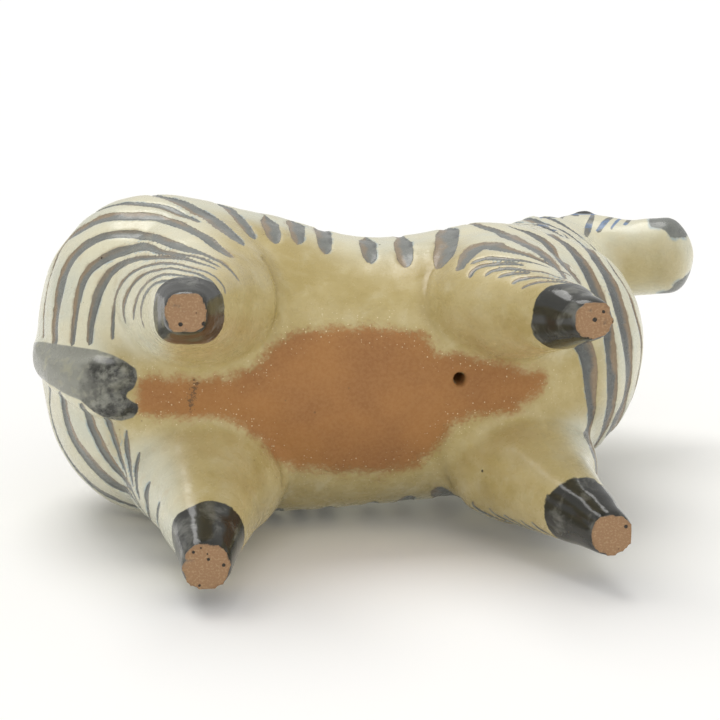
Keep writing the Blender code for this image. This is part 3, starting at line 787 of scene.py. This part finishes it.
def ear_field(local, turned, here):
    """How deep in the hollow of an ear each vertex is, from 0 to 1."""
    side = np.sign(local[:, 1])
    folded = np.stack([local[:, 0], local[:, 1] * side, local[:, 2]], axis=1) - np.array(EAR_ROOT)
    lean = np.array(EAR_LEAN)
    upwards = folded @ lean
    across = folded - upwards[:, None] * lean
    off = np.hypot((upwards - EAR_HOLLOW[0]) / EAR_HOLLOW[1], across[:, 1] / EAR_HOLLOW[2])
    near = np.linalg.norm(across, axis=1) < 9
    return np.where(here & near & (turned[:, 0] > 0.1), 1 - smooth_step(off, 0.55, 1.0), 0.0)


def ear_shift(local, here):
    """Leans the right ear towards the crest, in metres, because it doesn't show in the picture."""
    upwards = smooth_step(local[:, 2], EAR_ROOT[2] - 1, EAR_ROOT[2] + 14)
    ear = here & (local[:, 1] < -3) & (local[:, 0] < 6)
    return (upwards * ear)[:, None] * np.array(EAR_SHIFT) * MM


def nose_field(local, here):
    """Millimetres inside the dark of the muzzle, on its right side as seen and on its left as its mirror."""
    folded = np.stack([local[:, 0], -np.abs(local[:, 1]), local[:, 2]], axis=1)
    matrix = np.array(HEAD_FRAME)
    right = (folded * MM) @ matrix[:3, :3].T + matrix[:3, 3]
    inside = inside_outline(to_picture(right), NOSE_PATCH)
    top = np.minimum(local[:, 0] - NOSE_TOP[0], local[:, 2] - NOSE_TOP[1])
    return np.where(here & (local[:, 0] > 30), np.maximum(inside, top), -10.0)


def paint(piece, surface):
    """Stores the fields that the glaze reads on the mesh, and carves the stripes a little way in."""
    pixels = to_picture(surface.places)
    facing = facing_camera(surface)
    stripes, marks = all_strokes(surface)
    local, turned, here = on_head(surface)
    _, crease_off, crease_half = nearest_stroke(surface, [brushed(surface, line) for line in CREASES])
    fields = {"crease": np.exp(-((crease_off / CREASE_SPREAD) ** 2)) * smooth_step(crease_half, 0.2, 1.0)}
    side, off, half = nearest_stroke(surface, stripes)
    fields |= {"side": side, "off": off, "half": half}
    fields["mark_side"], fields["mark_off"], fields["mark_half"] = nearest_stroke(surface, marks)
    fields["nose"] = nose_field(local, here)
    fields["eye"] = eye_field(local, here)
    fields["ear"] = ear_field(local, turned, here)
    fields["bare"] = bare_field(surface, pixels, facing)
    fields["tail"] = tail_field(surface, pixels, facing)
    fields["hoof"] = hoof_field(surface)
    fields["khaki"] = softened(piece.data, khaki_field(surface), KHAKI_ROUNDS)
    _, smudge_off, _ = nearest_stroke(surface, [brushed(surface, SMUDGE)])
    fields["smudge"] = np.exp(-((smudge_off / SMUDGE_REACH) ** 2))
    for name, values in fields.items():
        stored = piece.data.attributes.new(name, "FLOAT", "POINT")
        stored.data.foreach_set("value", values.astype(np.float32))
    clear = (1 - smooth_step(fields["hoof"], -1.5, 0)) * (1 - smooth_step(fields["tail"], -1, 0))
    groove = smooth_step(half - np.abs(side), -0.5, 0.7) * (off < half + 0.9) * smooth_step(half, 0.1, 1.1)
    edge = smooth_step(np.abs(fields["bare"]), 0.0, 1.2)
    sunk = GROOVE_DEPTH * groove * clear + 0.10 * MM * (1 - edge) + EAR_HOLLOW_DEPTH * MM * fields["ear"]
    sunk += CREASE_DEPTH * fields["crease"]
    places = surface.places - surface.normals * sunk[:, None]
    places += surface.normals * hand_marks(surface.places)[:, None]
    places += ear_shift(local, here)
    flat = surface.places[:, 2] <= FLAT_SOLE
    places[flat] = surface.places[flat]
    places[:, 2] = np.maximum(places[:, 2], 0.0)
    piece.data.vertices.foreach_set("co", places.astype(np.float32).reshape(-1))
    piece.data.update()


def hand_marks(places):
    """Slow unevenness of hand-smoothed clay, in metres."""
    chance = np.random.default_rng(CLAY_SEED)
    height = np.zeros(len(places))
    for length in (46, 31, 22, 15, 10):
        for _ in range(3):
            way = chance.normal(size=3)
            way /= np.linalg.norm(way)
            phase = chance.uniform(0, 2 * math.pi)
            height += math.sqrt(length) * np.sin(2 * math.pi * (places / MM) @ way / length + phase)
    low = smooth_step(places[:, 2], 1 * MM, 10 * MM)
    return height * 0.013 * MM * low


def put(tree, value, socket):
    """Feeds a socket from a worked-out value, or else sets it."""
    if isinstance(value, Value):
        tree.links.new(value.socket, socket)
    else:
        socket.default_value = value


class Value:
    """A number or a colour that a material works out at each spot, so that arithmetic on it adds nodes."""

    def __init__(self, tree, socket):
        self.tree = tree
        self.socket = socket

    def math(self, operation, first, second):
        node = self.tree.nodes.new("ShaderNodeMath")
        node.operation = operation
        put(self.tree, first, node.inputs[0])
        put(self.tree, second, node.inputs[1])
        return Value(self.tree, node.outputs[0])

    def __add__(self, other):
        return self.math("ADD", self, other)

    def __sub__(self, other):
        return self.math("SUBTRACT", self, other)

    def __rsub__(self, other):
        return self.math("SUBTRACT", other, self)

    def __mul__(self, other):
        return self.math("MULTIPLY", self, other)

    def __truediv__(self, other):
        return self.math("DIVIDE", self, other)

    def __abs__(self):
        return self.math("ABSOLUTE", self, 0.0)

    def __neg__(self):
        return self * -1.0

    def larger(self, other):
        return self.math("MAXIMUM", self, other)

    def step(self, low, high, start=0.0, end=1.0):
        """A number that eases from start to end as this one goes from low to high."""
        node = self.tree.nodes.new("ShaderNodeMapRange")
        node.interpolation_type = "SMOOTHSTEP"
        put(self.tree, self, node.inputs["Value"])
        for name, number in (("From Min", low), ("From Max", high), ("To Min", start), ("To Max", end)):
            node.inputs[name].default_value = number
        return Value(self.tree, node.outputs["Result"])

    def mix(self, first, second):
        """The colour with this share of the second one and the rest of the first."""
        node = self.tree.nodes.new("ShaderNodeMix")
        node.data_type = "RGBA"
        put(self.tree, self, node.inputs[0])
        put(self.tree, first, node.inputs[6])
        put(self.tree, second, node.inputs[7])
        return Value(self.tree, node.outputs[2])

    def blend(self, first, second):
        """The number with this share of the second one and the rest of the first."""
        node = self.tree.nodes.new("ShaderNodeMix")
        put(self.tree, self, node.inputs[0])
        put(self.tree, first, node.inputs[2])
        put(self.tree, second, node.inputs[3])
        return Value(self.tree, node.outputs[0])


class Glaze:
    """The figurine's one material, built up in the order of the real finish."""

    def __init__(self):
        self.material = bpy.data.materials.new("zebra_glaze")
        self.material.use_nodes = True
        self.tree = self.material.node_tree
        self.shader = self.tree.nodes["Principled BSDF"]
        self.place = self.tree.nodes.new("ShaderNodeTexCoord").outputs["Object"]
        self.fine = self.noise(1.1, 4, 0.6)
        self.small = self.noise(4.0, 4, 0.6)
        self.cloud = self.noise(9, 4, 0.6, 0.4)
        self.patchy = self.noise(6.5, 4, 0.65, 0.6)
        self.broad = self.noise(26, 3, 0.55)
        self.wobble = (self.small - 0.5) * 0.9

    def field(self, name):
        """A value that was stored on the mesh."""
        node = self.tree.nodes.new("ShaderNodeAttribute")
        node.attribute_name = name
        return Value(self.tree, node.outputs["Fac"])

    def position(self, axis):
        """The place along one axis, in mm."""
        node = self.tree.nodes.new("ShaderNodeSeparateXYZ")
        self.tree.links.new(self.place, node.inputs[0])
        return Value(self.tree, node.outputs[axis]) * 1000.0

    def noise(self, size, detail, roughness, warp=0.0):
        """Cloudy noise whose features are this many millimetres across, from 0 to 1."""
        node = self.tree.nodes.new("ShaderNodeTexNoise")
        self.tree.links.new(self.place, node.inputs["Vector"])
        node.inputs["Scale"].default_value = 1000 / size
        node.inputs["Detail"].default_value = detail
        node.inputs["Roughness"].default_value = roughness
        node.inputs["Distortion"].default_value = warp
        return Value(self.tree, node.outputs["Fac"])

    def dots(self, size, radius, share):
        """Dots on a jittered grid of this many millimetres, of which only a share shows."""
        node = self.tree.nodes.new("ShaderNodeTexVoronoi")
        self.tree.links.new(self.place, node.inputs["Vector"])
        node.inputs["Scale"].default_value = 1000 / size
        chance = self.tree.nodes.new("ShaderNodeSeparateColor")
        self.tree.links.new(node.outputs["Color"], chance.inputs[0])
        kept = Value(self.tree, chance.outputs[0]).step(share - 0.01, share + 0.01, 1.0, 0.0)
        reach = Value(self.tree, chance.outputs[1]) * (radius / size) + 0.35 * radius / size
        inside = reach - Value(self.tree, node.outputs["Distance"])
        return inside.step(0.0, 0.25 * radius / size) * kept

    def bump(self, height, distance, strength, before=None):
        node = self.tree.nodes.new("ShaderNodeBump")
        node.inputs["Strength"].default_value = strength
        node.inputs["Distance"].default_value = distance
        put(self.tree, height, node.inputs["Height"])
        if before:
            put(self.tree, before, node.inputs["Normal"])
        return Value(self.tree, node.outputs["Normal"])

    def ground(self):
        """Cream all over, olive below, and painted shade of darker olive along the folds."""
        colour = self.broad.step(0.38, 0.68).mix(CREAM, CREAM_COOL)
        colour = (self.small.step(0.52, 0.75) * 0.40).mix(colour, CREAM_WARM)
        khaki = self.field("khaki") * self.cloud.step(0.15, 0.5, 0.75, 1.0)
        belly = self.position(2).step(46.0, 66.0) * 0.09
        olive = (self.broad * 0.6 + self.cloud * 0.4 + belly).step(0.44, 0.68).mix(KHAKI, KHAKI_DARK)
        colour = khaki.mix(colour, olive)
        # painted shade: darker olive laid along the carved folds between the legs and the trunk
        return (self.field("crease") * 0.45).mix(colour, FOLD_SHADE_OLIVE)

    def stroke(self, kind, waver):
        """The nearest stroke's fields, how far past its edge a spot is, and 1 where the stroke is near."""
        side, off, half = (self.field(kind + name) for name in ("side", "off", "half"))
        past = abs(side) + self.wobble * waver - half
        near = (off - (half.larger(0.52) + 0.18)).step(-0.03, 0.05, 1.0, 0.0)
        return side, off, half, past, near

    def stripes(self, colour):
        """A grey wash, darker at its edges, brown on one side and blue beyond the other."""
        side, off, half, past, near = self.stroke("", 1.0)
        drawn = half.step(0.08, 0.22)
        stripe = past.step(-0.16, 0.20, 1.0, 0.0) * near * drawn
        lean = side / half.larger(0.25)
        wash = self.small.step(0.35, 0.75, 0.0, 0.30).mix(STRIPE, STRIPE_DARK)
        wash = self.position(0).step(15.0, 55.0, 0.0, 0.55).mix(wash, STRIPE_DARK)
        brown = (lean + (self.cloud - 0.5) * 2.2).step(-0.05, 0.75) * self.broad.step(0.30, 0.55)
        wash = (brown * 0.72).mix(wash, STRIPE_BROWN)
        rim = (-lean).step(0.35, 0.85) * self.patchy.step(0.40, 0.60)
        thin = past.step(-0.40, -0.10) * self.patchy.step(0.52, 0.62)
        wash = (rim.larger(thin) * 0.62).mix(wash, STRIPE_DARK)
        beside = (off - half).step(1.0, 1.5, 1.0, 0.0) * drawn
        halo = past.step(0.0, 1.0, 1.0, 0.0) * side.step(-0.3, 0.0, 1.0, 0.0) * self.patchy.step(0.44, 0.60)
        rust = past.step(0.0, 1.1, 1.0, 0.0) * side.step(0.0, 0.3) * self.cloud.step(0.46, 0.62)
        colour = (halo * beside * 0.60).mix(colour, HALO_BLUE)
        colour = (rust * beside * 0.55).mix(colour, STRIPE_BROWN)
        return stripe.mix(colour, wash), stripe

    def head(self, colour):
        """The marks on the face, the dark muzzle, the ears' hollows, and the eyes with their blue rims."""
        _, _, half, past, near = self.stroke("mark_", 0.7)
        mark = past.step(-0.2, 0.25, 1.0, 0.0) * near * half.step(0.08, 0.2)
        colour = (mark * 0.85).mix(colour, self.cloud.step(0.45, 0.6).mix(STRIPE_DARK, MARK_BLUE))
        muzzle = self.field("nose") + self.wobble * 2.0
        rim = muzzle.step(-1.4, -0.2) * self.patchy.step(0.42, 0.6)
        colour = (rim * 0.6).mix(colour, HALO_BLUE)
        dark = self.small.step(0.35, 0.8, 0.0, 0.5).mix(STRIPE, STRIPE_DARK)
        colour = muzzle.step(-0.3, 0.3).mix(colour, dark)
        colour = (self.field("ear").step(0.15, 0.7) * 0.85).mix(colour, STRIPE_DARK)
        ball = self.field("eye") + self.wobble * 0.4
        eye = ball.step(-0.15, 0.15)
        lid = ball.step(-1.3, -0.9) * (1.0 - eye)
        colour = (lid * 0.7).mix(colour, MARK_BLUE)
        return eye.mix(colour, HOOF), eye

    def belly(self, colour):
        """Bare terracotta, sooty in one place, with a sparkling fade where the glaze thins out."""
        inside = self.field("bare") + (self.cloud - 0.5) * 7.0 + (self.fine - 0.5) * 7.0
        bare = inside.step(-2.4, 2.4)
        clay = self.broad.step(0.35, 0.70).mix(TERRACOTTA, TERRACOTTA_DARK)
        clay = (self.fine.step(0.35, 0.65) * 0.30).mix(clay, TERRACOTTA_PALE)
        fade = inside.step(-9.0, -0.5) * (1.0 - bare)
        colour = (fade * 0.35).mix(colour, KHAKI_DARK)
        colour = bare.mix(colour, clay)
        soot = (self.field("smudge") + (self.fine - 0.5) * 3.4).step(0.72, 1.10) * 0.62
        colour = soot.mix(colour, HOOF)
        sparks = self.dots(0.80, 0.19, 0.30) * inside.step(-13, -2) * inside.step(3, 9, 1.0, 0.0)
        return (sparks * 0.8).mix(colour, SPARK), bare

    def tail_and_hooves(self, colour):
        patches = self.small * 0.5 + self.patchy * 0.5
        hair = patches.step(0.50, 0.62).mix(TAIL_GREY, TAIL_LIGHT)
        tuft = ((self.cloud - 0.5) * 14.0 - self.position(2)).step(-64.0, -57.0)
        hair = tuft.mix(hair, patches.step(0.46, 0.66).mix(HOOF, TAIL_GREY))
        colour = (self.field("tail") + self.wobble * 0.5).step(-0.25, 0.25).mix(colour, hair)
        hoof = (self.field("hoof") + (self.cloud - 0.5) * 5.0).step(-0.3, 0.3)
        return hoof.mix(colour, self.cloud.step(0.50, 0.72).mix(HOOF, HOOF_GREY)), hoof

    def soles(self, colour):
        """Raw, gritty, pitted clay under the feet."""
        sole = (self.position(2) + (self.small - 0.5) * 1.6).step(0.15, 0.55, 1.0, 0.0)
        grit = (self.noise(0.7, 3, 0.6).step(0.50, 0.64) * 0.7).mix(CLAY, CLAY_LIGHT)
        pits = self.dots(2.2, 0.55, 0.30)
        return sole.mix(colour, pits.mix(grit, PIT)), sole, pits * sole

    def specks(self, colour, sole):
        """Iron specks, and pinholes in the glaze."""
        pinholes = self.dots(9.0, 0.42, 0.16) * (1.0 - sole)
        colour = (self.dots(3.4, 0.26, 0.16) * 0.55).mix(colour, IRON)
        return (pinholes * 0.9).mix(colour, PIT), pinholes

    def finished(self):
        """The whole material: every layer's colour, then how rough and how uneven each is."""
        colour, stripe = self.stripes(self.ground())
        colour, eye = self.head(colour)
        colour, bare = self.belly(colour)
        colour, hoof = self.tail_and_hooves(colour)
        colour, sole, pits = self.soles(colour)
        colour, pinholes = self.specks(colour, sole)
        put(self.tree, colour, self.shader.inputs["Base Color"])
        raw = sole.larger(bare)
        rough = self.small.step(0.3, 0.7, 0.20, 0.34)
        rough = raw.blend(hoof.larger(eye).blend(rough, HOOF_ROUGHNESS), CLAY_ROUGHNESS)
        put(self.tree, rough, self.shader.inputs["Roughness"])
        relief = self.bump(-stripe, 0.18 * MM, 1.0)
        relief = self.bump(self.small, 0.22 * MM, 0.5, relief)
        relief = self.bump(self.fine * raw, 0.35 * MM, 0.8, relief)
        relief = self.bump(-pinholes.larger(pits), 0.5 * MM, 1.0, relief)
        put(self.tree, relief, self.shader.inputs["Normal"])
        return self.material


def stage_material(name):
    """A pale surface, and its cloth and mix. It is clear where the mix's first input is 1."""
    material = bpy.data.materials.new(name)
    material.use_nodes = True
    tree = material.node_tree
    tree.nodes.clear()
    cloth = tree.nodes.new("ShaderNodeBsdfDiffuse")
    cloth.inputs["Color"].default_value = STAGE_WHITE
    mix = tree.nodes.new("ShaderNodeMixShader")
    tree.links.new(cloth.outputs[0], mix.inputs[1])
    tree.links.new(tree.nodes.new("ShaderNodeBsdfTransparent").outputs[0], mix.inputs[2])
    tree.links.new(mix.outputs[0], tree.nodes.new("ShaderNodeOutputMaterial").inputs[0])
    return material, cloth, mix


def behind(tree):
    """1 on the back of a surface, and 0 on its front."""
    return Value(tree, tree.nodes.new("ShaderNodeNewGeometry").outputs["Backfacing"])


def of_ray(tree, kind):
    """1 for what is seen by one kind of ray, and 0 for the rest."""
    return Value(tree, tree.nodes.new("ShaderNodeLightPath").outputs[kind])


def table_material():
    """The table, seen and felt only from its front.

    In an oval behind the figurine it gives the same light to all that it lights, so that no side is black.
    """
    material, cloth, mix = stage_material("white_table")
    tree = material.node_tree
    put(tree, behind(tree), mix.inputs[0])
    oval = tree.nodes.new("ShaderNodeMapping")
    oval.vector_type = "TEXTURE"
    oval.inputs["Location"].default_value = (*GLOW_CENTRE, 0)
    oval.inputs["Scale"].default_value = (*GLOW_REACH, 1)
    tree.links.new(tree.nodes.new("ShaderNodeTexCoord").outputs["Object"], oval.inputs["Vector"])
    length = tree.nodes.new("ShaderNodeVectorMath")
    length.operation = "LENGTH"
    tree.links.new(oval.outputs[0], length.inputs[0])
    inside = Value(tree, length.outputs["Value"]).step(1.2, 0.7)
    glow = tree.nodes.new("ShaderNodeEmission")
    glow.inputs["Strength"].default_value = GLOW_STRENGTH
    front = tree.nodes.new("ShaderNodeMixShader")
    put(tree, inside * of_ray(tree, "Is Diffuse Ray"), front.inputs[0])
    tree.links.new(cloth.outputs[0], front.inputs[1])
    tree.links.new(glow.outputs[0], front.inputs[2])
    tree.links.new(front.outputs[0], mix.inputs[1])
    return material


def floor_material():
    """A floor that only shows from above, and takes no part in the light."""
    material, _, mix = stage_material("white_floor")
    tree = material.node_tree
    hidden = 1.0 - (of_ray(tree, "Is Camera Ray") - behind(tree)).larger(0.0)
    put(tree, hidden, mix.inputs[0])
    return material


def stage_plane(name, centre, turn, material):
    shape = bmesh.new()
    bmesh.ops.create_grid(shape, x_segments=2, y_segments=2, size=STAGE_SIZE / 2)
    mesh = bpy.data.meshes.new(name)
    shape.to_mesh(mesh)
    shape.free()
    mesh.materials.append(material)
    plane = bpy.data.objects.new(name, mesh)
    plane.rotation_euler = turn
    plane.location = centre
    bpy.context.scene.collection.objects.link(plane)


def sunlight(name, towards, angle, strength, colour=(1, 1, 1)):
    """A distant light that stands in one direction from the figurine, and looks this many degrees wide."""
    data = bpy.data.lights.new(name, "SUN")
    data.angle = math.radians(angle)
    data.energy = strength
    data.color = colour
    light = bpy.data.objects.new(name, data)
    light.rotation_mode = "QUATERNION"
    light.rotation_quaternion = Vector(towards).to_track_quat("Z", "Y")
    bpy.context.scene.collection.objects.link(light)


def studio_world():
    """A white surround that looks brighter than the light it gives."""
    world = bpy.data.worlds.new("studio")
    world.use_nodes = True
    tree = world.node_tree
    background = tree.nodes["Background"]
    background.inputs["Color"].default_value = (1.0, 1.0, 1.0, 1.0)
    bright = of_ray(tree, "Is Camera Ray") * (1.0 - WORLD_LIGHT) + WORLD_LIGHT
    put(tree, bright, background.inputs["Strength"])
    bpy.context.scene.world = world


def stage():
    studio_world()
    stage_plane("table", (0, TABLE_PLACE, 0), (math.pi / 2, 0, 0), table_material())
    stage_plane("floor", (0, 0, -FLOOR_GAP), (0, 0, 0), floor_material())
    for light in LIGHTS:
        sunlight(*light)
    bpy.context.scene.view_settings.view_transform = "Standard"
    bpy.context.scene.view_settings.look = "None"


def add_camera():
    data = bpy.data.cameras.new("camera")
    data.sensor_width = SENSOR_WIDTH
    data.lens = LENS
    data.clip_start = 0.05
    data.clip_end = 50.0
    camera = bpy.data.objects.new("camera", data)
    turn = Matrix((CAMERA_RIGHT, CAMERA_UP, CAMERA_BACK)).transposed().to_4x4()
    camera.matrix_world = Matrix.Translation(CAMERA_PLACE) @ turn
    bpy.context.scene.collection.objects.link(camera)
    bpy.context.scene.camera = camera


add_camera()
figurine = fine_surface(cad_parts["zebra"])
paint(figurine, Surface(figurine.data))
figurine.data.materials.clear()
figurine.data.materials.append(Glaze().finished())
figurine.data.shade_smooth()
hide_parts("zebra")
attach(figurine, "root")
stage()
